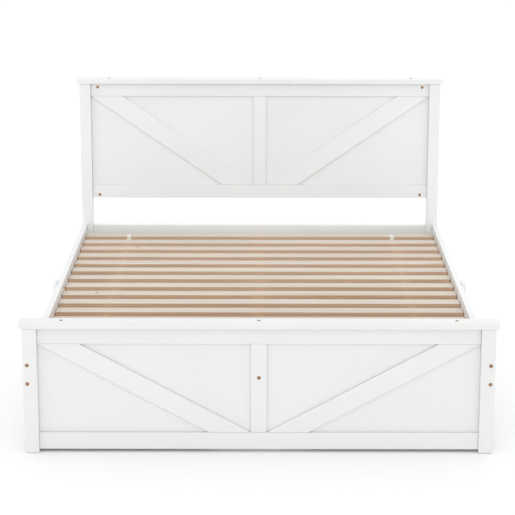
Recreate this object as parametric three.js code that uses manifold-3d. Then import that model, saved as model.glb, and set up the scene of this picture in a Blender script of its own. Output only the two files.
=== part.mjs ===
// Queen-size platform bed: a braced farmhouse headboard and footboard, a slatted deck on
// ledgers and a centre beam, and four drawers that roll out sideways on their own wheels.
// Millimetres. X runs across the bed, Y from foot to head, Z up from the floor.
import * as THREE from "three";
import { mergeVertices } from "three/addons/utils/BufferGeometryUtils.js";
import Module from "manifold-3d";

const wasm = await Module();
wasm.setup();

// ---- Driving dimensions -------------------------------------------------------------------

const touchGap = 0.3; // left between two pieces that touch
const overCut = 1; // how far a tool runs past the face it cuts or joins
const turnedSides = 16; // facets round a turned or drilled shape

// The mattress and the room left around it
const mattressWidth = 1524;
const mattressLength = 2032;
const mattressSideGap = 5.5;
const mattressEndGap = 9;

// Corner posts and caps
const postWidth = 48;
const postDepth = 52;
const headHeight = 963;
const footHeight = 459.5;
const capThick = 22.5;
const capOverEnd = 11;
const capOverFront = 6;
const capOverBack = 4;

// Framed boards between the posts, the same at the head and the foot
const frameRecess = 14; // posts' front face to the frame's front face
const frameThick = 22;
const frameTopRailHeight = 55.5;
const frameBottomRailHeight = 59;
const panelThick = 9;
const panelRecess = 8; // frame's front face to the panel's front face
const grooveDepth = 8; // how far the panel enters the rails
const grooveClearance = 0.4;
const stileWidth = 54;
const braceRun = 140; // width of a brace measured along the rails
const braceRecess = 1; // frame's front face to the face of stile and braces
const footBoardLow = 11;
const headBoardLow = 430;
const headLowRailTop = 305;
const headLowRailHeight = 100;
const headLowRailThick = 36;

// Side rails, ledgers and mid legs
const railThick = 22;
const railTop = 312;
const railHeight = 120;
const ledgerThick = 25;
const ledgerHeight = 30;
const ledgerEndGap = 6;
const midLegLength = 60; // along the bed
const midLegCheek = 14.5; // the part that stands outside the rail
const midLegRise = 6.5; // the leg's top above the rail's top

// Slatted deck
const slatCount = 16;
const slatWidth = 64;
const slatThick = 18;
const slatSideGap = 2;
const slatRecess = 32; // rail's top to the slats' top
const headSlatGap = 39; // head posts' front face to the first slat
const footSlatGap = 102; // foot posts' back face to the last slat

// Centre beam
const beamWidth = 38;
const beamHeight = 60;
const centreLegSide = 45;
const centreLegFromEnd = 640; // foot and head posts to the nearer centre leg's middle

// Drawers
const drawerSideGap = 4; // front board to the posts and the mid leg
const drawerTopGap = 4; // front board to the rail above
const drawerFloorGap = 12;
const drawerBackRoom = 127; // drawer's back to the centre legs
const drawerFrontThick = 18;
const drawerFrontLap = 12; // front board past the box at each side
const drawerWall = 12;
const drawerBottomThick = 5;
const drawerWallDrop = 23; // front board's top to the box's rim
const drawerRunnerLow = 10; // lower edge of the two side walls
const knobRadius = 16;
const knobLength = 27;
const knobStemRadius = 8;
const knobStemLength = 8;
const knobFlareStart = 13.5; // where the stem's curve turns outwards
const knobCrown = 5.6; // height of the domed face
const knobFromEnd = 245; // front board's end to a knob's middle

// Drawer wheels: two wheels fixed on one steel axle
const wheelRadius = 22;
const wheelWidth = 16;
const wheelHubRadius = 9;
const wheelHubStep = 2;
const wheelSideGap = 3; // wheel's hub to the drawer's side wall
const wheelTopGap = 6; // wheel to the drawer's bottom board
const axleRadius = 3;
const axleClearance = 0.3;
const axleEndGap = 1; // axle's end inside the side wall's outer face
const axleInset = 75; // box's end wall to the axle

// Bolt recesses
const boltRecessRadius = 6.5;
const boltRecessDepth = 4;
const cornerBoltHeights = [245, 310];
const cornerBoltInset = 14.5; // posts' outer face to the bolts
const beamBoltHeight = 263;
const headBoltFromPost = 31;
const headBoltBelowCap = 15.5;
const headBoltAboveEdge = 14;
const midBolts = [[-20, 222], [20, 290]]; // along the bed from the leg's middle, and height
const capScrewRadius = 6.2;
const capScrewDepth = 2.5;
const capScrewFromSide = 129.5; // posts' outer face to the outer plugs
const capScrewFromFace = 26;

// ---- Derived sizes ------------------------------------------------------------------------

const innerHalf = mattressWidth / 2 + mattressSideGap;
const outerHalf = innerHalf + railThick;
const innerLength = mattressLength + 2 * mattressEndGap;
const footInner = postDepth;
const headInner = postDepth + innerLength;
const midBed = (footInner + headInner) / 2;
const postInner = outerHalf - postWidth;
const railLow = railTop - railHeight;
const slatTop = railTop - slatRecess;
const slatLow = slatTop - slatThick;

// ---- Finishes -----------------------------------------------------------------------------

const paint = { color: 0xf1f0ee, roughness: 0.45, metalness: 0 };
const pine = { color: 0xdcc6a8, roughness: 0.65, metalness: 0 };
const ply = { color: 0xd8c19c, roughness: 0.6, metalness: 0 };
const steelAndNylon = { color: 0x55585c, roughness: 0.4, metalness: 0.3 };

// ---- Helpers ------------------------------------------------------------------------------

const bed = new THREE.Group();
const frame = new THREE.Group();
bed.add(frame);

/** Adds one named piece to a group. */
function place(parent, name, geometry, finish) {
  const piece = new THREE.Mesh(geometry, new THREE.MeshStandardMaterial(finish));
  piece.name = name;
  parent.add(piece);
  return piece;
}

/** A box between two corners, in the coordinates of its parent. */
function block([x0, y0, z0], [x1, y1, z1]) {
  const box = new THREE.BoxGeometry(Math.abs(x1 - x0), Math.abs(y1 - y0), Math.abs(z1 - z0));
  return box.translate((x0 + x1) / 2, (y0 + y1) / 2, (z0 + z1) / 2);
}

/** A rod from a start point along a unit axis. */
function rod(radius, length, start, axis) {
  const along = new THREE.Vector3(...axis);
  const turn = new THREE.Quaternion().setFromUnitVectors(new THREE.Vector3(0, 1, 0), along);
  const middle = new THREE.Vector3(...start).addScaledVector(along, length / 2);
  const cylinder = new THREE.CylinderGeometry(radius, radius, length, turnedSides);
  return cylinder.applyQuaternion(turn).translate(middle.x, middle.y, middle.z);
}

/** An outline in the XZ plane, drawn out along Y from y0 to y1. */
function plate(outline, y0, y1) {
  const shape = new THREE.Shape(outline.map(([x, z]) => new THREE.Vector2(x, z)));
  const solid = new THREE.ExtrudeGeometry(shape, { depth: y1 - y0, bevelEnabled: false });
  return solid.rotateX(Math.PI / 2).translate(0, y1, 0);
}

/** An outline in the YZ plane, drawn out along X from x0 to x1. */
function bar(outline, x0, x1) {
  const shape = new THREE.Shape(outline.map(([y, z]) => new THREE.Vector2(y, z)));
  const solid = new THREE.ExtrudeGeometry(shape, { depth: x1 - x0, bevelEnabled: false });
  return solid.rotateX(Math.PI / 2).rotateZ(Math.PI / 2).translate(x0, 0, 0);
}

function toSolid(geometry) {
  const bare = geometry.clone();
  bare.deleteAttribute("normal");
  bare.deleteAttribute("uv");
  const merged = mergeVertices(bare, 1e-3);
  const mesh = new wasm.Mesh({
    numProp: 3,
    vertProperties: new Float32Array(merged.attributes.position.array),
    triVerts: new Uint32Array(merged.index.array),
  });
  return new wasm.Manifold(mesh);
}

function toGeometry(solid) {
  const mesh = solid.getMesh();
  const geometry = new THREE.BufferGeometry();
  geometry.setAttribute("position", new THREE.BufferAttribute(mesh.vertProperties, 3));
  geometry.setIndex(new THREE.BufferAttribute(mesh.triVerts, 1));
  geometry.computeVertexNormals();
  return geometry;
}

function cut(geometry, tools) {
  const solid = tools.reduce((left, tool) => left.subtract(toSolid(tool)), toSolid(geometry));
  return toGeometry(solid);
}

function join(geometries) {
  const [first, ...others] = geometries.map(toSolid);
  return toGeometry(others.reduce((sum, solid) => sum.add(solid), first));
}

/** The tool for a blind round recess, from a point on a face inwards along an axis. */
function recess(radius, depth, [x, y, z], [ax, ay, az]) {
  const start = [x - overCut * ax, y - overCut * ay, z - overCut * az];
  return rod(radius, depth + overCut, start, [ax, ay, az]);
}

const boltRecess = (point, axis) => recess(boltRecessRadius, boltRecessDepth, point, axis);

// ---- Headboard and footboard --------------------------------------------------------------

/** A rail of a framed board, with a groove along one edge for the panel. */
function groovedRail(front, low, high, grooveAtTop, boltPoints) {
  const grooveFront = front + panelRecess - grooveClearance;
  const grooveBack = front + panelRecess + panelThick + grooveClearance;
  const edge = grooveAtTop ? high : low;
  const floor = grooveAtTop ? high - grooveDepth : low + grooveDepth;
  const far = grooveAtTop ? low : high;
  const outline = [
    [front, far],
    [front + frameThick, far],
    [front + frameThick, edge],
    [grooveBack, edge],
    [grooveBack, floor],
    [grooveFront, floor],
    [grooveFront, edge],
    [front, edge],
  ];
  const end = postInner - touchGap;
  const rail = bar(grooveAtTop ? outline : outline.reverse(), -end, end);
  return cut(rail, boltPoints.map((point) => boltRecess(point, [0, 1, 0])));
}

/**
 * One end of the bed: two posts under a cap, and between them a top and a bottom rail that
 * hold a panel, with a centre stile and two braces fixed on the panel.
 */
function endBoard({ prefix, front, height, low, postBolts, railBolts, stileBolts }) {
  const board = new THREE.Group();
  board.position.y = front;
  frame.add(board);

  const capLow = height - capThick;
  const postTop = capLow - touchGap;
  const topRailLow = capLow - frameTopRailHeight;
  const bottomRailTop = low + frameBottomRailHeight;
  const panelFront = frameRecess + panelRecess;
  const trimFront = frameRecess + braceRecess;
  const trimBack = panelFront - touchGap;

  for (const [side, sign] of [["left", -1], ["right", 1]]) {
    const post = block([sign * outerHalf, 0, 0], [sign * postInner, postDepth, postTop]);
    const bolts = postBolts.map((z) =>
      boltRecess([sign * (outerHalf - cornerBoltInset), 0, z], [0, 1, 0]),
    );
    place(board, `${prefix}_post_${side}`, cut(post, bolts), paint);
  }

  const capEnd = outerHalf + capOverEnd;
  const capBack = postDepth + capOverBack;
  const cap = block([-capEnd, -capOverFront, capLow], [capEnd, capBack, height]);
  const capScrewX = outerHalf - capScrewFromSide;
  const capScrews = [-capScrewX, 0, capScrewX].map((x) =>
    recess(capScrewRadius, capScrewDepth, [x, capScrewFromFace, height], [0, 0, -1]),
  );
  place(board, `${prefix}_cap`, cut(cap, capScrews), paint);

  const boltX = postInner - headBoltFromPost;
  const boltPair = (z) => [-boltX, boltX].map((x) => [x, frameRecess, z]);
  const topBolts = railBolts ? boltPair(capLow - headBoltBelowCap) : [];
  const lowBolts = railBolts ? boltPair(low + headBoltAboveEdge) : [];
  const topRail = groovedRail(frameRecess, topRailLow, postTop, false, topBolts);
  const bottomRail = groovedRail(frameRecess, low, bottomRailTop, true, lowBolts);
  place(board, `${prefix}_top_rail`, topRail, paint);
  place(board, `${prefix}_bottom_rail`, bottomRail, paint);

  const panelEnd = postInner - touchGap;
  const panelEntry = grooveDepth - grooveClearance;
  const panel = block(
    [-panelEnd, panelFront, bottomRailTop - panelEntry],
    [panelEnd, panelFront + panelThick, topRailLow + panelEntry],
  );
  place(board, `${prefix}_panel`, panel, paint);

  const trimLow = bottomRailTop + touchGap;
  const trimHigh = topRailLow - touchGap;
  const stile = block(
    [-stileWidth / 2, trimFront, trimLow],
    [stileWidth / 2, trimBack, trimHigh],
  );
  const bolts = stileBolts.map((z) => boltRecess([0, trimFront, z], [0, 1, 0]));
  place(board, `${prefix}_centre_stile`, cut(stile, bolts), paint);

  const braceOut = postInner - touchGap;
  const braceIn = stileWidth / 2 + touchGap;
  const rightBrace = [
    [braceOut, trimHigh],
    [braceOut - braceRun, trimHigh],
    [braceIn, trimLow],
    [braceIn + braceRun, trimLow],
  ];
  const leftBrace = rightBrace.map(([x, z]) => [-x, z]).reverse();
  place(board, `${prefix}_brace_left`, plate(leftBrace, trimFront, trimBack), paint);
  place(board, `${prefix}_brace_right`, plate(rightBrace, trimFront, trimBack), paint);
}

endBoard({
  prefix: "foot",
  front: 0,
  height: footHeight,
  low: footBoardLow,
  postBolts: cornerBoltHeights,
  railBolts: false,
  stileBolts: [beamBoltHeight],
});
endBoard({
  prefix: "head",
  front: headInner,
  height: headHeight,
  low: headBoardLow,
  postBolts: [],
  railBolts: true,
  stileBolts: [],
});

const lowRailEnd = postInner - touchGap;
const headLowRail = block(
  [-lowRailEnd, headInner + frameRecess, headLowRailTop - headLowRailHeight],
  [lowRailEnd, headInner + frameRecess + headLowRailThick, headLowRailTop],
);
place(frame, "head_low_rail", headLowRail, paint);

// ---- Sides: rails, ledgers and mid legs -------------------------------------------------------

for (const [side, sign] of [["left", -1], ["right", 1]]) {
  const rail = block(
    [sign * innerHalf, footInner + touchGap, railLow],
    [sign * outerHalf, headInner - touchGap, railTop],
  );
  place(frame, `side_rail_${side}`, rail, paint);

  const ledgerTop = slatLow - touchGap;
  const ledgerOuter = innerHalf - touchGap;
  const ledger = block(
    [sign * (ledgerOuter - ledgerThick), footInner + ledgerEndGap, ledgerTop - ledgerHeight],
    [sign * ledgerOuter, headInner - ledgerEndGap, ledgerTop],
  );
  place(frame, `ledger_${side}`, ledger, pine);

  // The rail rests on the leg's shoulder, and the leg's cheek rises outside the rail.
  const legOut = outerHalf + midLegCheek;
  const shoulder = railLow - touchGap;
  const cheekIn = outerHalf + touchGap;
  const rightLeg = [
    [innerHalf, 0],
    [legOut, 0],
    [legOut, railTop + midLegRise],
    [cheekIn, railTop + midLegRise],
    [cheekIn, shoulder],
    [innerHalf, shoulder],
  ];
  const outline = sign > 0 ? rightLeg : rightLeg.map(([x, z]) => [-x, z]).reverse();
  const leg = plate(outline, midBed - midLegLength / 2, midBed + midLegLength / 2);
  const bolts = midBolts.map(([along, z]) =>
    boltRecess([sign * legOut, midBed + along, z], [-sign, 0, 0]),
  );
  place(frame, `mid_leg_${side}`, cut(leg, bolts), paint);
}

// ---- Deck: slats, centre beam and its legs --------------------------------------------------

const slatHalf = innerHalf - slatSideGap;
const slatRoom = innerLength - headSlatGap - footSlatGap - slatWidth;
const slatPitch = slatRoom / (slatCount - 1);
for (let i = 0; i < slatCount; i += 1) {
  const y = footInner + footSlatGap + i * slatPitch;
  const slat = block([-slatHalf, y, slatLow], [slatHalf, y + slatWidth, slatTop]);
  place(frame, `slat_${String(i + 1).padStart(2, "0")}`, slat, pine);
}

const beamTop = slatLow - touchGap;
const beamLow = beamTop - beamHeight;
const beam = block(
  [-beamWidth / 2, frameRecess + frameThick + touchGap, beamLow],
  [beamWidth / 2, headInner + frameRecess - touchGap, beamTop],
);
place(frame, "centre_beam", beam, pine);

const centreLegs = [
  ["foot", footInner + centreLegFromEnd],
  ["head", headInner - centreLegFromEnd],
];
for (const [end, y] of centreLegs) {
  const half = centreLegSide / 2;
  const leg = block([-half, y - half, 0], [half, y + half, beamLow - touchGap]);
  place(frame, `centre_leg_${end}`, leg, pine);
}

// ---- Drawers --------------------------------------------------------------------------------

const frontFace = outerHalf;
const frontBack = frontFace - drawerFrontThick;
const frontHigh = railLow - drawerTopGap;
const boxFront = frontBack - touchGap;
const boxBack = centreLegSide / 2 + drawerBackRoom;
const boxTop = frontHigh - drawerWallDrop;
const bayLength = midBed - midLegLength / 2 - footInner;
const frontHalf = bayLength / 2 - drawerSideGap;
const boxHalf = frontHalf - drawerFrontLap;
const axleHeight = wheelRadius;
const bottomHeight = 2 * wheelRadius + wheelTopGap;

/** The front board with its two turned knobs, for a drawer that opens along +X. */
function drawerFront() {
  const board = block([frontBack, -frontHalf, drawerFloorGap], [frontFace, frontHalf, frontHigh]);
  const profile = new THREE.Path();
  profile.moveTo(0, -overCut);
  profile.lineTo(knobStemRadius, -overCut);
  profile.lineTo(knobStemRadius, knobStemLength);
  profile.quadraticCurveTo(knobStemRadius, knobFlareStart, knobRadius, knobLength - knobCrown);
  profile.quadraticCurveTo(knobRadius, knobLength, 0, knobLength);
  const points = profile.getPoints(4);
  const knobs = [-1, 1].map((sign) => {
    const knob = new THREE.LatheGeometry(points, turnedSides).rotateZ(-Math.PI / 2);
    const y = sign * (frontHalf - knobFromEnd);
    return knob.translate(frontFace, y, (drawerFloorGap + frontHigh) / 2);
  });
  return join([board, ...knobs]);
}

/** The open box: two side walls that also carry the axles, two end walls and a bottom. */
function drawerBox() {
  const inner = boxHalf - drawerWall;
  const sides = [-1, 1].map((sign) =>
    block([boxBack, sign * inner, drawerRunnerLow], [boxFront, sign * boxHalf, boxTop]),
  );
  const reach = inner + overCut;
  const ends = [boxBack, boxFront - drawerWall].map((x) =>
    block([x, -reach, bottomHeight], [x + drawerWall, reach, boxTop]),
  );
  const bottom = block(
    [boxBack + overCut, -reach, bottomHeight],
    [boxFront - overCut, reach, bottomHeight + drawerBottomThick],
  );
  const holes = [boxBack + axleInset, boxFront - axleInset].map((x) => {
    const start = [x, -boxHalf - overCut, axleHeight];
    return rod(axleRadius + axleClearance, 2 * (boxHalf + overCut), start, [0, 1, 0]);
  });
  return cut(join([...sides, ...ends, bottom]), holes);
}

/** Two wheels on one axle along Y, turned as a single profile around the axle. */
function wheelPair() {
  const axleEnd = boxHalf - axleEndGap;
  const hubOut = boxHalf - drawerWall - wheelSideGap;
  const rimOut = hubOut - wheelHubStep;
  const rimIn = rimOut - wheelWidth;
  const hubIn = rimIn - wheelHubStep;
  const half = [
    [axleRadius, hubIn],
    [wheelHubRadius, hubIn],
    [wheelHubRadius, rimIn],
    [wheelRadius, rimIn],
    [wheelRadius, rimOut],
    [wheelHubRadius, rimOut],
    [wheelHubRadius, hubOut],
    [axleRadius, hubOut],
    [axleRadius, axleEnd],
    [0, axleEnd],
  ];
  const other = half.map(([r, y]) => [r, -y]).reverse();
  const points = [...other, ...half].map(([r, y]) => new THREE.Vector2(r, y));
  return new THREE.LatheGeometry(points, turnedSides);
}

const bays = [
  ["foot", footInner + bayLength / 2],
  ["head", headInner - bayLength / 2],
];
for (const [side, turn] of [["left", Math.PI], ["right", 0]]) {
  for (const [end, y] of bays) {
    const drawer = new THREE.Group();
    drawer.position.y = y;
    drawer.rotation.z = turn;
    frame.add(drawer);
    const name = `drawer_${side}_${end}`;
    place(drawer, `${name}_front`, drawerFront(), paint);
    place(drawer, `${name}_box`, drawerBox(), ply);
    for (const [which, x] of [["inner", boxBack + axleInset], ["outer", boxFront - axleInset]]) {
      const wheels = place(drawer, `${name}_${which}_wheels`, wheelPair(), steelAndNylon);
      wheels.position.set(x, 0, axleHeight);
    }
  }
}

// The origin is on the floor under the middle of the whole bed.
frame.position.y = -(headInner + postDepth) / 2;

export default bed;
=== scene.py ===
# %% [markdown]
# # A platform bed with rolling drawers
#
# The bed is a carpenter's piece: a braced headboard and footboard, two side rails, a deck of
# bare pine slats, and four drawers that roll out sideways on their own wheels.
# The sizes are settled already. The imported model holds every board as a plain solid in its
# place, so this lesson only gives each board its eased edges, its bolts and its finish.
# Everything is in metres, with X across the bed, Y from foot to head and Z up from the floor.

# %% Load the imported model
import math
import random

import bmesh
import bpy
from mathutils import Matrix, Vector


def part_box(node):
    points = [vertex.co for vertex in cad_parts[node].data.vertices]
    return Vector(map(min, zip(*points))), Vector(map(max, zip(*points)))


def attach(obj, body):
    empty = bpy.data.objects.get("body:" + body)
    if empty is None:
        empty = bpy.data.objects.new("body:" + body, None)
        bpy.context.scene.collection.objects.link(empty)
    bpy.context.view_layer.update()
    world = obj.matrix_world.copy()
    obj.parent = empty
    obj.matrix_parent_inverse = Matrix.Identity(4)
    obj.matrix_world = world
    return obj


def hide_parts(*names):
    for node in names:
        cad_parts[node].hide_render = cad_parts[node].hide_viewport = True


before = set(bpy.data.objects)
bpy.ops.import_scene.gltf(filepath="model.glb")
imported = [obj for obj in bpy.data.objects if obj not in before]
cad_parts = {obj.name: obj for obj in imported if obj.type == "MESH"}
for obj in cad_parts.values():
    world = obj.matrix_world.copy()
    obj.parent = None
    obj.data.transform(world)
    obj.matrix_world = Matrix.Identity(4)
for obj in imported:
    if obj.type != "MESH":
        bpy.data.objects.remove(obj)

MM = 0.001
X, Y, Z = Vector((1, 0, 0)), Vector((0, 1, 0)), Vector((0, 0, 1))
both_sides = (("left", -1), ("right", 1))  # with the sign of X on that side
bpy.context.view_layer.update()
chance = random.Random(12)
scene = bpy.context.scene

# %% [markdown]
# ## The camera
#
# A furniture maker often shows a bed from the foot end, from a little above eye level and
# from far away, through a long lens, so that its upright lines stay almost upright.
# The camera could be aimed with a Track To constraint, but three turns say the same thing
# and leave nothing live: stand it up, tip it down, then turn it.

# %% Place the camera
camera_place = (0.0085, -6.9182, 2.1354)
tip_down = math.radians(13.966)
turn_left = 0.0023  # radians
roll = 0.00085  # radians
lens = 127.94  # millimetres, on a 36 mm sensor

camera_data = bpy.data.cameras.new("camera")
camera_data.sensor_width = 36
camera_data.lens = lens
camera = bpy.data.objects.new("camera", camera_data)
scene.collection.objects.link(camera)
upright = Matrix.Rotation(math.pi / 2 - tip_down, 4, "X") @ Matrix.Rotation(roll, 4, "Z")
camera.matrix_world = Matrix.Translation(camera_place) @ Matrix.Rotation(turn_left, 4, "Z") @ upright
scene.camera = camera
print("the camera stands", round(Vector(camera_place).length, 2), "metres from the bed's middle")

# %% [markdown]
# ## Floor and light
#
# White furniture on a white ground is drawn by its soft shadows alone. One bright sky of
# plain white gives every face the same light, and the joints darken by themselves where
# less of that sky is seen. Large softboxes then say which way is front. The headboard looks
# down on brown wood instead of a white floor, so it would come out dull and warm: a cool
# softbox with a grid, which narrows its beam, lifts it without touching the footboard.
# Hard lamps would throw shadows of the braces that hide the real lines.

# %% A plain pale floor
floor_radius = 40


def plain(name, colour, roughness):
    """A material of one colour, for what isn't part of the bed."""
    material = bpy.data.materials.new(name)
    material.use_nodes = True
    shader = material.node_tree.nodes["Principled BSDF"]
    shader.inputs["Base Color"].default_value = (*colour, 1)
    shader.inputs["Roughness"].default_value = roughness
    shader.inputs["Specular IOR Level"].default_value = 0.1
    return material


floor_work = bmesh.new()
bmesh.ops.create_circle(floor_work, cap_ends=True, segments=64, radius=floor_radius)
floor_mesh = bpy.data.meshes.new("floor")
floor_work.to_mesh(floor_mesh)
floor_work.free()
floor_mesh.materials.append(plain("pale_floor", (0.96, 0.96, 0.96), 0.9))
floor = bpy.data.objects.new("floor", floor_mesh)
scene.collection.objects.link(floor)

# %% Soft studio light
world = bpy.data.worlds.new("studio")
world.use_nodes = True
world.node_tree.nodes["Background"].inputs["Color"].default_value = (1, 1, 1, 1)
world.node_tree.nodes["Background"].inputs["Strength"].default_value = 1.07
scene.world = world
scene.view_settings.view_transform = "Standard"


def softbox(name, place, aim, width, height, power, spread=180, colour=(1, 1, 1)):
    """An area light that the camera doesn't see. A grid on it gives a small spread."""
    data = bpy.data.lights.new(name, "AREA")
    data.shape = "RECTANGLE"
    data.size, data.size_y = width, height
    data.energy = power
    data.color = colour
    data.spread = math.radians(spread)
    lamp = bpy.data.objects.new(name, data)
    lamp.location = place
    lamp.rotation_euler = (Vector(aim) - Vector(place)).to_track_quat("-Z", "Y").to_euler()
    lamp.visible_camera = False
    scene.collection.objects.link(lamp)


softbox("front_softbox", (-1.5, -6.0, 3.2), (0, -0.6, 0.3), 4.0, 4.0, 18)
cool = (0.67, 0.88, 1.0)
softbox("headboard_softbox", (0, -2.2, 1.9), (0, 1.08, 0.4), 3.0, 0.6, 2.8, spread=44, colour=cool)
softbox("back_softbox", (2.0, 6.0, 3.5), (0, 0, 0.4), 4.0, 4.0, 14)

# %% [markdown]
# ## Finishes
#
# Every finish is a small network of nodes. Wood is a solid, not a sheet, so its pattern is
# made in space: growth rings are cylinders round the heart of the log, and a board shows
# whatever its faces cut through. That gives long lines on the face and arcs on the end
# grain without any drawing. For that, each board carries attributes that its material reads:
# "heart", where the log's middle line was, "tone", a little lighter or darker, and a mark on
# its narrow faces. On bare wood these are left as the saw cut them while the wide ones are
# sanded. The same mark also carries painted shade: it browns the narrow faces of pine further
# and greys those of the framed painted boards.

# %% A helper that adds a node
def add(tree, kind, inputs=None, **settings):
    """Adds a shader node. An input is a value, or another node's socket to link."""
    node = tree.nodes.new("ShaderNode" + kind)
    for key, value in settings.items():
        setattr(node, key, value)
    for key, value in (inputs or {}).items():
        if isinstance(value, bpy.types.NodeSocket):
            tree.links.new(value, node.inputs[key])
        else:
            node.inputs[key].default_value = value
    return node


def ramp(tree, factor, stops):
    """A colour ramp of (position, colour) stops; one number stands for a grey."""
    node = add(tree, "ValToRGB", {"Fac": factor})
    elements = node.color_ramp.elements
    while len(elements) < len(stops):
        elements.new(0.5)
    for element, (position, colour) in zip(elements, stops):
        element.position = position
        element.color = (*colour, 1) if isinstance(colour, tuple) else (colour, colour, colour, 1)
    return node.outputs["Color"]


def maths(tree, operation, a, b):
    return add(tree, "Math", {0: a, 1: b}, operation=operation).outputs[0]


def mixed(tree, factor, a, b, blend="MIX"):
    """Two colours mixed by a factor."""
    node = add(tree, "Mix", {0: factor, 6: a, 7: b}, data_type="RGBA", blend_type=blend)
    return node.outputs[2]


def stretched(tree, vector, scale):
    return add(tree, "Mapping", {"Vector": vector, "Scale": scale}).outputs[0]


def noise(tree, vector, scale, detail=2.0):
    node = add(tree, "TexNoise", {"Vector": vector, "Scale": scale, "Detail": detail})
    return node.outputs["Fac"]


# %% A helper that lays the pattern along the board
finishes = {}


def finish_named(name, slot, length, thick, fill):
    """Makes a material once for each direction of the board, and gives it back after that."""
    key = (name, tuple(length), tuple(thick))
    if key not in finishes:
        material = bpy.data.materials.new(f"{name}_{len(finishes):02d}")
        material.use_nodes = True
        material["slot"] = slot
        material["length"] = tuple(length)
        material["thick"] = tuple(thick)
        tree = material.node_tree
        place = add(tree, "TexCoord").outputs["Object"]
        heart = add(tree, "Attribute", attribute_name="heart").outputs["Vector"]
        own = add(tree, "VectorMath", {0: place, 1: heart}, operation="SUBTRACT").outputs[0]
        turn = Matrix((length, thick.cross(length), thick)).to_euler()
        along = add(tree, "Mapping", {"Vector": own, "Rotation": turn}).outputs[0]
        fill(tree, tree.nodes["Principled BSDF"], along)
        finishes[key] = material
    return finishes[key]


def bumped(tree, shader, height, depth, strength=1.0):
    inputs = {"Height": height, "Distance": depth, "Strength": strength}
    tree.links.new(add(tree, "Bump", inputs).outputs["Normal"], shader.inputs["Normal"])


# %% [markdown]
# ### White satin paint
#
# The paint is sprayed over sanded wood. Up close it has the dimples of sprayed lacquer, a
# ghost of the grain below, and a slightly warmer line where the film is thin on an arris.
# A flat white would look like plastic, but each of these must stay near the limit of sight.
# Painted shade greys the framed boards' edges, so that each outline reads as a fine dark line.

# %% Paint
def fill_paint(tree, shader, along, painted_edge_shade=0.0):
    cloud = noise(tree, along, 2.5)
    white = ramp(tree, cloud, [(0.3, (0.79, 0.79, 0.785)), (0.7, (0.815, 0.815, 0.81))])
    arris = add(tree, "Attribute", attribute_name="arris").outputs["Fac"]
    thin_film = maths(tree, "MULTIPLY", arris, 0.2)
    colour = mixed(tree, thin_film, white, (0.81, 0.785, 0.75, 1))
    narrow_faces = add(tree, "Attribute", attribute_name="narrow_faces").outputs["Fac"]
    # Painted shade: the narrow faces are mixed towards grey, so that outlines read as fine dark lines.
    colour = mixed(tree, maths(tree, "MULTIPLY", narrow_faces, painted_edge_shade), colour, (0.4, 0.395, 0.385, 1))
    tree.links.new(colour, shader.inputs["Base Color"])
    ghost_grain = noise(tree, stretched(tree, along, (0.03, 1, 1)), 260, 4)
    dimples = noise(tree, along, 480)
    surface = maths(tree, "ADD", maths(tree, "MULTIPLY", ghost_grain, 0.7), dimples)
    bumped(tree, shader, surface, 0.05 * MM)
    gloss = ramp(tree, dimples, [(0.3, 0.36), (0.7, 0.46)])
    tree.links.new(gloss, shader.inputs["Roughness"])


# Paint with painted shade on its narrow faces, for the framed boards.
def fill_paint_with_edge_shade(tree, shader, along):
    fill_paint(tree, shader, along, painted_edge_shade=0.35)


def paint(length, thick):
    return finish_named("white_paint", "white_paint", length, thick, fill_paint)


# For the framed boards: paint with painted shade on the narrow faces.
def paint_with_edge_shade(length, thick):
    return finish_named("paint_with_edge_shade", "white_paint", length, thick, fill_paint_with_edge_shade)


# %% [markdown]
# ### Bare pine
#
# Pine is pale early wood between thin darker lines of late wood, a few millimetres apart.
# A Wave texture in its Rings form draws them, in a saw-tooth profile, because a ring ends
# sharply on its outer side. Noise that is stretched along the board bends the lines slowly,
# finer noise makes the fibres, and a Voronoi texture leaves a knot here and there.
# Sanding leaves the wide faces pale, and the sawn edges stay browner. Part of that brown is
# painted shade, as dark and warm as the shade on the slats' front edges in the gaps.

# %% Pine
ring_spacing = 4.2 * MM


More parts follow.
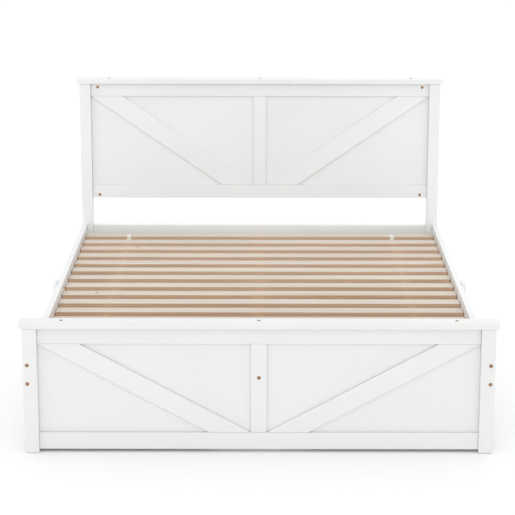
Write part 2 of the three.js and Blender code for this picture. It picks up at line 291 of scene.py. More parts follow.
def fill_pine(tree, shader, along):
    slow = stretched(tree, along, (0.07, 1, 1))
    rings = add(
        tree,
        "TexWave",
        {
            "Vector": slow,
            "Scale": 2 * math.pi / 20 / ring_spacing,
            "Distortion": 9.0,
            "Detail": 2.5,
            "Detail Scale": 0.32,
        },
        wave_type="RINGS",
        rings_direction="X",
        wave_profile="SAW",
    ).outputs["Fac"]
    early, late = (0.715, 0.655, 0.585), (0.6, 0.5, 0.4)
    wood = ramp(tree, rings, [(0.0, early), (0.5, (0.695, 0.62, 0.535)), (0.86, late), (1.0, early)])
    bands = noise(tree, stretched(tree, along, (0.05, 1, 1)), 38, 3)
    wood = mixed(tree, 1.0, wood, ramp(tree, bands, [(0.3, 0.9), (0.7, 1.06)]), "MULTIPLY")
    fibres = noise(tree, stretched(tree, along, (0.015, 1, 1)), 900, 3)
    wood = mixed(tree, 1.0, wood, ramp(tree, fibres, [(0.3, 0.93), (0.7, 1.05)]), "MULTIPLY")
    tone = add(tree, "Attribute", attribute_name="tone").outputs["Fac"]
    wood = mixed(tree, 1.0, wood, ramp(tree, tone, [(0.0, (0.95, 0.93, 0.9)), (1.0, 1.0)]), "MULTIPLY")
    cells = add(tree, "TexVoronoi", {"Vector": along, "Scale": 5.0}).outputs["Distance"]
    knots = ramp(tree, cells, [(0.022, 1.0), (0.034, 0.35), (0.07, 0.0)])
    wood = mixed(tree, maths(tree, "MULTIPLY", knots, 0.75), wood, (0.3, 0.16, 0.08, 1))
    narrow_faces = add(tree, "Attribute", attribute_name="narrow_faces").outputs["Fac"]
    # Partly painted shade: the narrow faces are browned past their own sawn colour.
    brown_and_painted_shade = mixed(tree, 1.0, wood, (0.98, 0.765, 0.615, 1), "MULTIPLY")
    tree.links.new(mixed(tree, narrow_faces, wood, brown_and_painted_shade), shader.inputs["Base Color"])
    surface = maths(tree, "ADD", maths(tree, "MULTIPLY", rings, 0.5), fibres)
    bumped(tree, shader, surface, 0.12 * MM)
    tree.links.new(ramp(tree, fibres, [(0.3, 0.56), (0.7, 0.7)]), shader.inputs["Roughness"])


def pine(length, thick):
    return finish_named("pine", "pine", length, thick, fill_pine)


# %% [markdown]
# ### Plywood
#
# Plywood is the opposite of a log: thin sheets glued with their grain crossed. Its face is
# one sheet, and its edge shows all of them as stripes. Both come from one pattern that
# changes only with the depth in the board, which is why the board's thickness lies on Z.

# %% Plywood
sheet_thickness = 1.7 * MM


def fill_ply(tree, shader, along):
    depth = add(tree, "SeparateXYZ", {0: along}).outputs["Z"]
    turn_count = maths(tree, "MULTIPLY", depth, math.pi / sheet_thickness)
    stripe = maths(tree, "SINE", turn_count, 0.0)
    crossed = ramp(tree, stripe, [(0.0, (0.74, 0.6, 0.43)), (0.12, (0.6, 0.43, 0.27))])
    figure = noise(tree, stretched(tree, along, (0.08, 1, 1)), 55, 4)
    wood = mixed(tree, 1.0, crossed, ramp(tree, figure, [(0.3, 0.9), (0.7, 1.06)]), "MULTIPLY")
    fibres = noise(tree, stretched(tree, along, (0.02, 1, 1)), 800, 3)
    wood = mixed(tree, 1.0, wood, ramp(tree, fibres, [(0.3, 0.94), (0.7, 1.03)]), "MULTIPLY")
    tree.links.new(wood, shader.inputs["Base Color"])
    bumped(tree, shader, maths(tree, "ADD", fibres, figure), 0.08 * MM)
    tree.links.new(ramp(tree, fibres, [(0.3, 0.5), (0.7, 0.62)]), shader.inputs["Roughness"])


def ply(length, thick):
    return finish_named("drawer_ply", "drawer_ply", length, thick, fill_ply)


# %% [markdown]
# ### Metal, nylon and webbing
#
# The bolts are bronze-plated steel, dull and a little uneven, the screws are zinc, and the
# wheels are moulded nylon. One function serves all three, because they differ only in
# colour, in how metallic they are and in how much the noise disturbs their gloss.

# %% Metal and nylon
def fitting(name, dark, light, metallic, dull, shiny, grain):
    """A material for a small fitting, with patches of a dark and a light colour."""
    def fill(tree, shader, along):
        shader.inputs["Metallic"].default_value = metallic
        patches = noise(tree, along, grain, 3)
        tree.links.new(ramp(tree, patches, [(0.35, dark), (0.65, light)]), shader.inputs["Base Color"])
        fine = noise(tree, along, grain * 6, 2)
        tree.links.new(ramp(tree, fine, [(0.3, shiny), (0.7, dull)]), shader.inputs["Roughness"])
        bumped(tree, shader, fine, 0.03 * MM)

    return finish_named(name, name, X, Z, fill)


bronze = fitting("bolt_bronze", (0.35, 0.19, 0.105), (0.51, 0.3, 0.18), 0.75, 0.5, 0.32, 300)
zinc = fitting("zinc_steel", (0.5, 0.5, 0.51), (0.66, 0.66, 0.67), 0.9, 0.45, 0.28, 220)
nylon = fitting("wheel_nylon", (0.055, 0.056, 0.06), (0.075, 0.076, 0.08), 0.0, 0.62, 0.45, 160)


# %% Cotton webbing
def fill_webbing(tree, shader, along):
    """Warp and weft over each other, on the strap's own UV map in metres. The dips get painted shade."""
    thread = 1.1 * MM
    place = add(tree, "SeparateXYZ", {0: add(tree, "UVMap", uv_map="weave").outputs["UV"]})
    weft = maths(tree, "SINE", maths(tree, "MULTIPLY", place.outputs["X"], 2 * math.pi / thread), 0.0)
    warp = maths(tree, "SINE", maths(tree, "MULTIPLY", place.outputs["Y"], math.pi / thread), 0.0)
    weave = maths(tree, "MULTIPLY", weft, warp)
    raised = maths(tree, "MULTIPLY_ADD", weave, 0.5)
    raised.node.inputs[2].default_value = 0.5
    # Painted shade: the weave is painted darker where the threads dip.
    thread_colour_with_painted_shade = ramp(tree, raised, [(0.0, (0.73, 0.67, 0.59)), (0.6, (0.89, 0.84, 0.77))])
    fluff = noise(tree, along, 700, 3)
    colour = mixed(tree, 1.0, thread_colour_with_painted_shade, ramp(tree, fluff, [(0.3, 0.92), (0.7, 1.05)]), "MULTIPLY")
    tree.links.new(colour, shader.inputs["Base Color"])
    shader.inputs["Roughness"].default_value = 0.9
    bumped(tree, shader, raised, 0.3 * MM, 0.8)


webbing = finish_named("cotton_webbing", "cotton_webbing", Y, Z, fill_webbing)
print("finishes so far:", [material.name for material in finishes.values()])

# %% [markdown]
# ## From a block to a finished board
#
# A board starts as a cube that is scaled to its packed size. Real wood never has knife
# edges, so each arris is eased with a small round bevel: it catches the light as a thin
# bright line, and it is most of what tells a board from a box. Grooves, rebates and bolt
# recesses are cut afterwards with a Boolean modifier, which works like the cutter it names.

# %% Helpers for solid work
touch_gap = 0.3 * MM  # left between boards that touch


def block(low, high):
    """A solid box between two corners."""
    work = bmesh.new()
    low, high = Vector(low), Vector(high)
    bmesh.ops.create_cube(work, size=1)
    bmesh.ops.scale(work, vec=high - low, verts=work.verts)
    bmesh.ops.translate(work, vec=(low + high) / 2, verts=work.verts)
    return work


def ease(work, width, segments=3, sharp=math.radians(35)):
    """Rounds every sharp edge, and marks the rounded faces for the paint."""
    layer = work.faces.layers.float.get("arris") or work.faces.layers.float.new("arris")
    edges = [e for e in work.edges if len(e.link_faces) == 2 and e.calc_face_angle() > sharp]
    made = bmesh.ops.bevel(
        work,
        geom=edges,
        offset=width,
        segments=segments,
        profile=0.5,
        affect="EDGES",
        clamp_overlap=True,
        material=-1,
    )
    for face in made["faces"]:
        face[layer] = 1.0
    return work


def turned(profile, steps=32):
    """A solid turned on a lathe round Z, from (radius, height) points that end on the axis."""
    work = bmesh.new()
    points = [work.verts.new((radius, 0, height)) for radius, height in profile]
    edges = [work.edges.new(pair) for pair in zip(points, points[1:])]
    bmesh.ops.spin(
        work,
        geom=points + edges,
        cent=(0, 0, 0),
        axis=(0, 0, 1),
        angle=2 * math.pi,
        steps=steps,
        use_merge=True,
    )
    bmesh.ops.remove_doubles(work, verts=work.verts, dist=0.001 * MM)
    bmesh.ops.recalc_face_normals(work, faces=work.faces)
    return work


def stood(work, place, axis=Z):
    """A copy of a small piece, with its Z turned to an axis and its origin moved to a place."""
    copy = work.copy()
    turn = Z.rotation_difference(Vector(axis)).to_matrix().to_4x4()
    bmesh.ops.transform(copy, matrix=Matrix.Translation(place) @ turn, verts=copy.verts)
    return copy


def together(works):
    """Several pieces of work as one."""
    whole = bmesh.new()
    for work in works:
        mesh = bpy.data.meshes.new("part")
        work.to_mesh(mesh)
        work.free()
        whole.from_mesh(mesh)
        bpy.data.meshes.remove(mesh)
    return whole


def cut(work, tools):
    """Cuts the tools out of the work with a Boolean modifier."""
    holders = []
    for name, solid in (("work", work), ("tools", together(tools))):
        mesh = bpy.data.meshes.new(name)
        solid.to_mesh(mesh)
        solid.free()
        holders.append(bpy.data.objects.new(name, mesh))
        scene.collection.objects.link(holders[-1])
    body, cutter = holders
    boolean = body.modifiers.new("cut", "BOOLEAN")
    boolean.object = cutter
    boolean.operation = "DIFFERENCE"
    boolean.solver = "EXACT"
    result = bpy.data.meshes.new_from_object(body.evaluated_get(bpy.context.evaluated_depsgraph_get()))
    cut_work = bmesh.new()
    cut_work.from_mesh(result)
    for mesh in (result, body.data, cutter.data):
        bpy.data.meshes.remove(mesh)
    return cut_work


# %% A helper that finishes a piece
smooth_below = math.radians(50)


def finish(work, name, material, body="bedframe", stands_for=(), heart=None):
    """Makes the work an object with its finish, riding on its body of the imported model."""
    mesh = bpy.data.meshes.new(name)
    bmesh.ops.recalc_face_normals(work, faces=work.faces)
    work.to_mesh(mesh)
    work.free()
    mesh.materials.append(material)
    mesh.shade_smooth()
    mesh.set_sharp_from_angle(angle=smooth_below)
    points = [point.co for point in mesh.vertices]
    middle = sum(points, Vector()) / len(points)
    across = [chance.choice((-1, 1)) * chance.uniform(25, 60) * MM for _ in range(3)]
    length = Vector(material["length"])
    log_heart = middle + Vector(across) + length * chance.uniform(-9, 9)
    values = list(log_heart if heart is None else heart) * len(points)
    mesh.attributes.new("heart", "FLOAT_VECTOR", "POINT").data.foreach_set("vector", values)
    tones = [chance.random()] * len(points)
    mesh.attributes.new("tone", "FLOAT", "POINT").data.foreach_set("value", tones)
    thick = Vector(material["thick"])
    narrow = [float(abs(face.normal.dot(thick)) < 0.5) for face in mesh.polygons]
    mesh.attributes.new("narrow_faces", "FLOAT", "FACE").data.foreach_set("value", narrow)
    piece = bpy.data.objects.new(name, mesh)
    scene.collection.objects.link(piece)
    even = piece.modifiers.new("even_shading", "WEIGHTED_NORMAL")
    even.keep_sharp = True
    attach(piece, body)
    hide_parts(*stands_for)
    return piece


# %% [markdown]
# ## Bolt recesses
#
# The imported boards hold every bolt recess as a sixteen-sided pocket. Its floor is the only
# part of a board that touches none of the board's six faces, so it can be found by that
# rule, and the places need not be written down twice. Its mouth is on the face that has the
# pocket's rim. A smooth, slightly flared pocket of the same size is then cut in the finished
# board, and the same list places the bolts.

# %% Find the recesses
def recesses(node):
    """The recesses of a packed board, as (centre on the face, way out, radius, depth)."""
    low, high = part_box(node)
    margin = 0.5 * MM
    points = [v.co.copy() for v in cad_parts[node].data.vertices]
    loose = [p for p in points if all(low[i] + margin < p[i] < high[i] - margin for i in range(3))]
    found = []
    while loose:
        near = [p for p in loose if (p - loose[0]).length < 15 * MM]
        loose = [p for p in loose if (p - near[0]).length >= 15 * MM]
        least = Vector([min(p[i] for p in near) for i in range(3)])
        most = Vector([max(p[i] for p in near) for i in range(3)])
        centre = (least + most) / 2
        axis = min(range(3), key=lambda i: most[i] - least[i])
        radius = max(most - least) / 2
        mouth = centre.copy()
        mouth[axis] = low[axis]
        opens_low = any((p - mouth).length < radius + margin for p in points)
        if not opens_low:
            mouth[axis] = high[axis]
        way_out = Vector()
        way_out[axis] = -1 if opens_low else 1
        found.append((mouth, way_out, radius, (mouth - centre).length))
    return found


bolt_places = {}
for node in sorted(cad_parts):
    if not node.startswith("drawer") and recesses(node):
        bolt_places[node] = recesses(node)
print("recesses:", {node: len(places) for node, places in bolt_places.items()})

# %% The cutter for a recess
rim_flare = 0.5 * MM
over_cut = 1 * MM


def recess_tool(centre, way_out, radius, depth):
    profile = [
        (0, -depth),
        (radius, -depth),
        (radius, -rim_flare),
        (radius + rim_flare + over_cut, over_cut),
        (0, over_cut),
    ]
    return stood(turned(profile, 40), centre, way_out)


# %% Make one board
def board(node, material, arris, tools=(), toe=0):
    """A finished board in the place of a packed one. toe is the chamfer round its foot."""
    low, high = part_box(node)
    work = block(low, high)
    if toe:
        foot_edges = [e for e in work.edges if all(v.co.z < low.z + MM for v in e.verts)]
        bmesh.ops.bevel(
            work,
            geom=foot_edges,
            offset=toe,
            segments=1,
            profile=0.5,
            affect="EDGES",
            material=-1,
        )
    ease(work, arris)
    tools = [*tools, *(recess_tool(*place) for place in bolt_places.get(node, []))]
    if tools:
        work = cut(work, tools)
    return finish(work, f"{node}_board", material, stands_for=[node])


# %% [markdown]
# ## Headboard and footboard
#
# Both ends are the same framed board. Two rails hold a thin panel in their grooves, and a
# stile and two braces are planted on the panel. The posts and the cap close the frame.
# A groove is cut by the panel's own box, grown by its clearance, as a joiner would
# mark it out from the panel. The braces are the only boards that aren't boxes, so they
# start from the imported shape, with its loose triangles merged into flat faces.

# %% Frame boards
post_arris = 2 * MM
post_toe = 4 * MM
cap_arris = 2.5 * MM
frame_arris = 1.2 * MM
groove_clearance = 0.4 * MM
groove_run = 100 * MM  # the groove's cutter past both ends of the panel

for end in ("foot", "head"):
    panel_low, panel_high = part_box(f"{end}_panel")
    room = Vector((groove_run, groove_clearance, groove_clearance))
    for side in ("left", "right"):
        board(f"{end}_post_{side}", paint(Z, Y), post_arris, toe=post_toe)
    board(f"{end}_cap", paint(X, Z), cap_arris)
    for rail in ("top_rail", "bottom_rail"):
        board(f"{end}_{rail}", paint_with_edge_shade(X, Y), frame_arris, [block(panel_low - room, panel_high + room)])
    board(f"{end}_panel", paint(X, Y), 0.5 * MM)
    board(f"{end}_centre_stile", paint_with_edge_shade(Z, Y), frame_arris)
board("head_low_rail", paint(X, Y), 1.5 * MM)


# %% Braces
def packed_copy(node):
    """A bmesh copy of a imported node, with its triangles merged into flat faces."""
    work = bmesh.new()
    work.from_mesh(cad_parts[node].data)
    bmesh.ops.remove_doubles(work, verts=work.verts, dist=0.01 * MM)
    bmesh.ops.dissolve_limit(work, angle_limit=math.radians(1), verts=work.verts, edges=work.edges)
    return work


for end in ("foot", "head"):
    for side in ("left", "right"):
        node = f"{end}_brace_{side}"
        work = packed_copy(node)
        lengths = {e.calc_length(): e for e in work.edges}
        first, second = lengths[max(lengths)].verts
        grain = (second.co - first.co).normalized()
        ease(work, frame_arris)
        finish(work, f"{node}_board", paint_with_edge_shade(grain, Y), stands_for=[node])

# %% [markdown]
# ## Side rails and mid legs
#
# A side rail runs from post to post. Halfway along, a leg takes its weight: the rail sits on
# a shoulder, and the leg's cheek stands outside it and is bolted through. The leg is a
# plain post with that shoulder sawn out, so the tool is the rail's own box with its gap.

# %% Rails and mid legs
saw_past = 10 * MM  # the shoulder's cutter past the leg

for side, sign in both_sides:
    rail_low, rail_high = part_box(f"side_rail_{side}")
    leg_low, leg_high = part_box(f"mid_leg_{side}")
    board(f"side_rail_{side}", paint(Y, X), 1.5 * MM)
    inside = min(abs(rail_low.x), abs(rail_high.x)) - saw_past
    outside = max(abs(rail_low.x), abs(rail_high.x)) + touch_gap
    seat = block(
        (min(sign * inside, sign * outside), leg_low.y - saw_past, rail_low.z - touch_gap),
        (max(sign * inside, sign * outside), leg_high.y + saw_past, leg_high.z + saw_past),
    )
    board(f"mid_leg_{side}", paint(Z, X), 1.5 * MM, [seat])

# %% [markdown]
# ## The slatted deck
#
# The deck is bare wood: sixteen slats on a ledger at each side and on a beam down the
# middle, which stands on two legs. Nothing here is painted, so the solid wood pattern does
# the work, and every slat is cut from another place in the log.

# %% Slats, ledgers and beam
slat_nodes = sorted(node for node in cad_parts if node.startswith("slat_"))
for node in slat_nodes:
    board(node, pine(X, Z), 1.5 * MM)
for node in ("ledger_left", "ledger_right"):
    board(node, pine(Y, X), 1.5 * MM)
board("centre_beam", pine(Y, X), 1.5 * MM)
for node in ("centre_leg_foot", "centre_leg_head"):
    board(node, pine(Z, Y), 2 * MM)
slats = [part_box(node) for node in slat_nodes]
print(len(slats), "slats,", round((slats[1][0].y - slats[0][0].y) / MM, 1), "mm from one to the next")

# %% [markdown]
# ### Webbing straps
#
# Two straps keep the slats apart. Each runs under the slats, comes straight up the inner
# edge of the last slat at either end and lies over it, where a steel plate holds it. A strap is
# a strip that is drawn along its route and then given its thickness. It could be a curve
# with a flat bevel, but then the weave would have no map of its own to follow.

# %% Straps
strap_width = 17.5 * MM
strap_thick = 1.2 * MM
strap_places = {"left": -575 * MM, "right": 582 * MM}  # the two places are not quite even
strap_lap = 41 * MM  # on the last slat
strap_slack = 0.2 * MM  # between the strap and a slat
strap_dip = 1.5 * MM  # between two slats

off_slat = strap_thick / 2 + strap_slack
under = slats[0][0].z - off_slat
over = slats[0][1].z + off_slat


def strap_route():
    """The strap's middle line as (along the bed, height) points."""
    first, last = slats[0][1].y, slats[-1][0].y
    route = [(first - strap_lap, over), (first - MM, over), (first + off_slat, over - MM)]
    route += [(first + off_slat, under + MM), (first + 4 * MM, under)]
    for (_, before), (after, _) in zip(slats[1:-2], slats[2:-1]):
        dip = ((before.y + after.y) / 2, under - strap_dip)
        route += [(before.y - MM, under), dip, (after.y + MM, under)]
    route += [(last - 4 * MM, under), (last - off_slat, under + MM)]
    return route + [(last - off_slat, over - MM), (last + MM, over), (last + strap_lap, over)]


def strap(x):
    """A strip drawn along the route at a place across the bed, then thickened."""
    work = bmesh.new()
    route = strap_route()
    edge = work.edges.new([work.verts.new((x + s * strap_width / 2, *route[0])) for s in (-1, 1)])
    for (y0, z0), (y1, z1) in zip(route, route[1:]):
        grown = bmesh.ops.extrude_edge_only(work, edges=[edge])["geom"]
        ends = [item for item in grown if isinstance(item, bmesh.types.BMVert)]
        bmesh.ops.translate(work, vec=(0, y1 - y0, z1 - z0), verts=ends)
        edge = next(item for item in grown if isinstance(item, bmesh.types.BMEdge))
    bmesh.ops.recalc_face_normals(work, faces=work.faces)
    bmesh.ops.solidify(work, geom=work.faces[:], thickness=strap_thick)
    bmesh.ops.translate(work, vec=(0, 0, strap_thick / 2), verts=work.verts)
    weave = work.loops.layers.uv.new("weave")
    for face in work.faces:
        for loop in face.loops:
            loop[weave].uv = (loop.vert.co.x - x, loop.vert.co.y)
    return work


for side, x in strap_places.items():
    finish(strap(x), f"slat_strap_{side}", webbing)
route = [Vector((0, *point)) for point in strap_route()]
print("each strap is", round(sum((b - a).length for a, b in zip(route, route[1:])), 3), "metres long")

# %% Strap plates and staples
plate_length = 11 * MM
plate_thick = 0.8 * MM
staple_length = 11 * MM
staple_wire = 1.2 * MM

plates = []
staples = []
for x in strap_places.values():
    top = over + off_slat - strap_slack / 2
    for start, way in ((slats[0][1].y - strap_lap, 1), (slats[-1][0].y + strap_lap, -1)):
        near, far = sorted((start - way * 2 * MM, start + way * (plate_length - 2 * MM)))
        half = strap_width / 2 + 0.5 * MM
        plates.append(ease(block((x - half, near, top), (x + half, far, top + plate_thick)), 0.3 * MM, 2))
    for low, high in slats[1:-1]:
        y, z = (low.y + high.y) / 2, under - strap_thick / 2
        wire = block(
            (x - staple_length / 2, y - staple_wire / 2, z - staple_wire),
            (x + staple_length / 2, y + staple_wire / 2, z),
        )
        staples.append(ease(wire, 0.4 * MM, 1))
print(len(plates), "strap plates and", len(staples), "staples")
finish(together(plates), "strap_plates", zinc)
finish(together(staples), "strap_staples", zinc)

# %% [markdown]
# ## Bolts and screws
#
# The frame is held by bolts with a flat round head and a six-sided socket for a hex key.
# The head is a turned disc. Its top is inset, the new ring is pulled onto a hexagon, and the
# hexagon is pushed down. A circle of 36 points has a point at every hexagon's corner, so the
# ring needs no new vertices. Wood screws are smaller, with a cross cut in their dome.


# %% Bolt heads
def bolt_head(radius, height):
    """A flat bolt head on Z = 0 with a hex socket."""
    rim = 0.6 * MM
    work = turned([(0, 0), (radius, 0), (radius, height - rim), (radius - rim, height), (0, height)], 36)
    top_faces = [f for f in work.faces if f.calc_center_median().z > height - 0.01 * MM]
    top = bmesh.ops.dissolve_faces(work, faces=top_faces)["region"][0]
    across_flats = 0.42 * radius
    ring_radius = across_flats / math.cos(math.radians(30))
    bmesh.ops.inset_individual(work, faces=[top], thickness=radius - rim - ring_radius)
    for vert in top.verts:
        angle = math.atan2(vert.co.y, vert.co.x)
        from_flat = (angle + math.radians(30)) % math.radians(60) - math.radians(30)
        reach = across_flats / math.cos(from_flat)
        vert.co.x, vert.co.y = reach * math.cos(angle), reach * math.sin(angle)
    bmesh.ops.inset_individual(work, faces=[top], thickness=0.05 * MM, depth=-0.6 * height)
    return work


head_below_face = 0.3 * MM
cap_head_below_face = -0.9 * MM  # on the caps the heads stand proud
head_clearance = 0.3 * MM
groups = {
    "foot_post_bolts": ["foot_post_left", "foot_post_right"],
    "beam_bolt": ["foot_centre_stile"],
    "headboard_bolts": ["head_top_rail", "head_bottom_rail"],
    "mid_leg_bolts": ["mid_leg_left", "mid_leg_right"],
    "foot_cap_bolts": ["foot_cap"],
    "head_cap_bolts": ["head_cap"],
}
for name, nodes in groups.items():
    heads = []
    sunk = cap_head_below_face if "cap" in name else head_below_face
    for centre, way_out, radius, depth in [place for node in nodes for place in bolt_places[node]]:
        head = bolt_head(radius - head_clearance, depth - sunk)
        heads.append(stood(head, centre - way_out * (depth - 0.05 * MM), way_out))
    finish(together(heads), name, bronze)
    print(name, "has", len(bolt_places[nodes[0]]) * len(nodes))


# %% Wood screws
def screw_head(radius, height):
    """A domed screw head on Z = 0 with a cross cut in it."""
    dome = [(radius * math.cos(a), height * math.sin(a)) for a in (0, 0.4, 0.8, 1.2)]
    head = turned([(0, -0.1 * MM), (radius, -0.1 * MM), *dome, (0, height)], 16)
    arm, half_slot = 0.55 * radius, 0.13 * radius
    slots = [
        block((-arm, -half_slot, 0.45 * height), (arm, half_slot, 2 * height)),
        block((-half_slot, -arm, 0.45 * height), (half_slot, arm, 2 * height)),
    ]
    for slot in slots:
        head = cut(head, [slot])
    return head


def row(start, stop, count):
    """Evenly spaced numbers, both ends included."""
    return [start + (stop - start) * i / (count - 1) for i in range(count)]


wood_screw = screw_head(4 * MM, 1.6 * MM)
small_screw = screw_head(3 * MM, 1.2 * MM)

# %% Screws that hold the deck
ledger_screw_count = 7
ledger_screw_margin = 80 * MM
ledger_screws = []
slat_screws = []
for side, sign in both_sides:
    low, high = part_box(f"ledger_{side}")
    inner = high.x if sign < 0 else low.x
    for y in row(low.y + ledger_screw_margin, high.y - ledger_screw_margin, ledger_screw_count):
        ledger_screws.append(stood(wood_screw, (inner, y, (low.z + high.z) / 2), (-sign, 0, 0)))
    for slat_low, slat_high in (slats[0], slats[-1]):
        place = ((low.x + high.x) / 2, (slat_low.y + slat_high.y) / 2, slat_high.z)
        slat_screws.append(stood(small_screw, place))
print(len(ledger_screws), "ledger screws,", len(slat_screws), "slat screws")
finish(together(ledger_screws), "ledger_screws", zinc)
finish(together(slat_screws), "slat_screws", zinc)

# %% Screws behind the panels
stile_screw_margin = 30 * MM
brace_screw_inset = 70 * MM  # along X, from a brace's ends
first_share, last_share = 0.14, 0.86  # of the way along a brace

for end in ("foot", "head"):
    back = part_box(f"{end}_panel")[1].y
    stile_low, stile_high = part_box(f"{end}_centre_stile")
    heights = row(stile_low.z + stile_screw_margin, stile_high.z - stile_screw_margin, 3)
    screws = [stood(small_screw, (0, back, z), Y) for z in heights]
    for side, sign in both_sides:
        brace_low, brace_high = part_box(f"{end}_brace_{side}")
        far, near = (abs(x) for x in sorted((brace_low.x, brace_high.x), key=abs, reverse=True))
        for share in row(first_share, last_share, 4):
            x = sign * (near + brace_screw_inset + (far - near - 2 * brace_screw_inset) * share)
            z = brace_low.z + (brace_high.z - brace_low.z) * share
            screws.append(stood(small_screw, (x, back, z), Y))
    print(end, "panel:", len(screws), "screws")
    finish(together(screws), f"{end}_panel_screws", zinc)

# %% Barrel nuts in the side rails
nut_radius = 5 * MM
nut_from_end = 12 * MM
nut_sunk = 0.1 * MM
nut_heights = (231 * MM, 296 * MM)


def barrel_nut():
    """The end of a steel barrel in its hole, with a slot to turn it."""
    rim = 0.5 * MM
    face = 2 * rim
    disc = turned([(0, 0), (nut_radius, 0), (nut_radius, rim), (nut_radius - rim, face), (0, face)], 24)
    slot = block((-0.6 * MM, -3.5 * MM, 0.4 * MM), (0.6 * MM, 3.5 * MM, 3 * MM))
    return cut(disc, [slot])


nut = barrel_nut()
nuts = []
for side, sign in both_sides:
    low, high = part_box(f"side_rail_{side}")
    inner = high.x if sign < 0 else low.x
    places = [(y, z) for y in (low.y + nut_from_end, high.y - nut_from_end) for z in nut_heights]
    places += [(centre.y, centre.z) for centre, *_ in bolt_places[f"mid_leg_{side}"]]
    nuts += [stood(nut, (inner + sign * nut_sunk, y, z), (-sign, 0, 0)) for y, z in places]
print(len(nuts), "barrel nuts")
finish(together(nuts), "rail_barrel_nuts", bronze)

# %% [markdown]
# ## Drawers
#
# Each drawer is a painted front with two turned knobs, screwed to an open plywood box. The
# side boards reach lower than the bottom and carry two steel axles, and the wheels turn
# with them, so a wheel set is a body of its own that rolls as the drawer slides.
# The four drawers are one function, called for each side and end.

# %% Drawer parts
front_thick = 18 * MM
wall = 12 * MM
bottom_low = 50 * MM
bottom_thick = 5 * MM
knob_radius = 16 * MM
knob_stem = 8 * MM
knob_crown = 5.6 * MM
knob_spread = 248.5 * MM  # drawer's middle to a knob's middle
axle_radius = 3 * MM
axle_hole = 3.3 * MM
wheel_width = 16 * MM
hub_radius = 9 * MM
hub_step = 2 * MM
wheel_side_gap = 3 * MM
box_screw_margin = 25 * MM


def bend(start, control, end, steps=8):
    """Points on a quadratic curve after its start."""
    start, control, end = Vector(start), Vector(control), Vector(end)
    points = []
    for i in range(1, steps + 1):
        t = i / steps
        points.append(tuple((1 - t) ** 2 * start + 2 * t * (1 - t) * control + t * t * end))
    return points


def knob(length):
    """A mushroom knob on Z = 0."""
    neck = (knob_stem, 8 * MM)
    brim = (knob_radius, length - knob_crown)
    profile = [(0, 0), (knob_stem + MM, 0), (knob_stem, MM), neck]
    profile += bend(neck, (knob_stem, 13.5 * MM), brim)
    profile += bend(brim, (knob_radius, length), (0, length))
    return turned(profile, 40)


def wheel(radius):
    """A nylon wheel round Z, with a rounded tread, a dished web and a hub."""
    half, rim, web = wheel_width / 2, 1.5 * MM, 4 * MM
    side = [
        (hub_radius, half + hub_step),
        (hub_radius, half - web),
        (radius - 4 * MM, half - web),
        (radius - 3.5 * MM, half - 0.4 * MM),
        (radius - rim, half),
    ]
    tread = bend((radius - rim, half), (radius, half), (radius, half - rim), 3)
    upper = [(0, half + hub_step), *side, *tread]
    lower = [(r, -z) for r, z in reversed(upper)]
    return turned(upper + lower, 48)


# %% Drawer front
def drawer_front(drawer, sign):
    """The front board and its knobs. Gives back where the knobs' screws go in."""
    low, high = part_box(f"{drawer}_front")
    back = min(abs(low.x), abs(high.x))
    face = back + front_thick
    x0, x1 = sorted((sign * back, sign * face))
    panel = ease(block((x0, low.y, low.z), (x1, high.y, high.z)), 2 * MM)
    finish(panel, f"{drawer}_front_board", paint(Y, X), drawer, [f"{drawer}_front"])
    middle, height = (low.y + high.y) / 2, (low.z + high.z) / 2
    reach = max(abs(low.x), abs(high.x)) - face
    spots = [middle - knob_spread, middle + knob_spread]
    knobs = [stood(knob(reach), (sign * face, y, height), (sign, 0, 0)) for y in spots]
    finish(together(knobs), f"{drawer}_knobs", paint(X, Z), drawer)
    return [(sign * back, y, height) for y in spots]


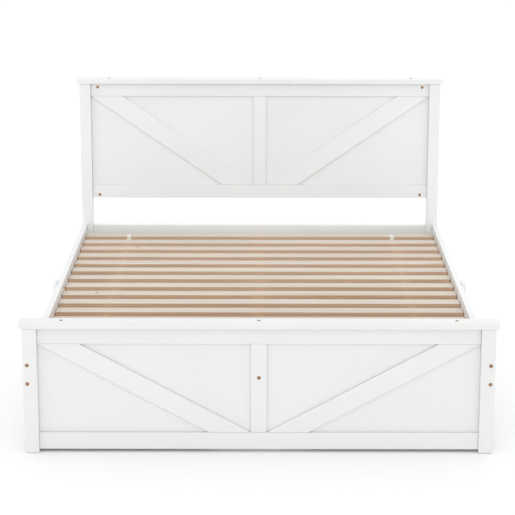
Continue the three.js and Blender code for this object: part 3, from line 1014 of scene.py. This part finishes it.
# %% Drawer box
def drawer_box(drawer, sign, knob_backs):
    """Walls and bottom of plywood. Each board's heart is moved, so that no two look alike."""
    low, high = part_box(f"{drawer}_box")
    axles = [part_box(f"{drawer}_{which}_wheels") for which in ("inner", "outer")]
    holes = []
    for axle_low, axle_high in axles:
        centre = (axle_low + axle_high) / 2
        length = high.y - low.y + 2 * over_cut
        rod = turned([(0, 0), (axle_hole, 0), (axle_hole, length), (0, length)], 24)
        holes.append(stood(rod, (centre.x, low.y - over_cut, centre.z), Y))
    sides = {"foot_side": (low.y, low.y + wall), "head_side": (high.y - wall, high.y)}
    for name, (y0, y1) in sides.items():
        work = ease(block((low.x, y0, low.z), (high.x, y1, high.z)), 0.8 * MM, 2)
        work = cut(work, [hole.copy() for hole in holes])
        heart = ((low.x + high.x) / 2 + 3 * y0, (y0 + y1) / 2, 0)
        finish(work, f"{drawer}_{name}", ply(X, Y), drawer, [f"{drawer}_box"], heart)
    inner_low, inner_high = low.y + wall + touch_gap, high.y - wall - touch_gap
    ends = {"low_end": (low.x, low.x + wall), "high_end": (high.x - wall, high.x)}
    for name, (x0, x1) in ends.items():
        work = ease(block((x0, inner_low, bottom_low), (x1, inner_high, high.z)), 0.8 * MM, 2)
        heart = ((x0 + x1) / 2, low.y + 7 * x0, 0)
        finish(work, f"{drawer}_{name}", ply(Y, X), drawer, [f"{drawer}_box"], heart)
    shelf_low = (low.x + wall + touch_gap, inner_low, bottom_low)
    shelf_high = (high.x - wall - touch_gap, inner_high, bottom_low + bottom_thick)
    heart = (low.x + 5 * low.y, 0, bottom_low + bottom_thick / 2)
    shelf = ease(block(shelf_low, shelf_high), 0.3 * MM, 1)
    finish(shelf, f"{drawer}_bottom", ply(X, Z), drawer, [f"{drawer}_box"], heart)
    screws = [stood(small_screw, (x, y, z), (0, way, 0))
              for x in (low.x + wall / 2, high.x - wall / 2)
              for y, way in ((low.y, -1), (high.y, 1))
              for z in row(bottom_low + box_screw_margin, high.z - box_screw_margin, 3)]
    inside = -sign * (wall + 2 * touch_gap)
    screws += [stood(wood_screw, (x + inside, y, z), (-sign, 0, 0)) for x, y, z in knob_backs]
    finish(together(screws), f"{drawer}_screws", zinc, drawer)


# %% Wheel sets
def wheel_set(drawer, which):
    """Two wheels fixed on their axle. The axle is steel with chamfered ends."""
    node = f"{drawer}_{which}_wheels"
    low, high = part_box(node)
    centre = (low + high) / 2
    radius = (high.z - low.z) / 2
    half_axle = (high.y - low.y) / 2
    box_low, box_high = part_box(f"{drawer}_box")
    rim_middle = (box_high.y - box_low.y) / 2 - wall - wheel_side_gap - hub_step - wheel_width / 2
    wheels = [stood(wheel(radius), centre + Y * s * rim_middle, (0, s, 0)) for s in (-1, 1)]
    finish(together(wheels), f"{node}_nylon", nylon, node, [node])
    chamfer = 0.6 * MM
    profile = [
        (0, -half_axle),
        (axle_radius - chamfer, -half_axle),
        (axle_radius, -half_axle + chamfer),
        (axle_radius, half_axle - chamfer),
        (axle_radius - chamfer, half_axle),
        (0, half_axle),
    ]
    finish(stood(turned(profile, 24), centre, Y), f"{node}_axle", zinc, node)


# %% Build the four drawers
for side, sign in both_sides:
    for end in ("foot", "head"):
        drawer = f"drawer_{side}_{end}"
        drawer_box(drawer, sign, drawer_front(drawer, sign))
        for which in ("inner", "outer"):
            wheel_set(drawer, which)
        print(drawer, "is built")
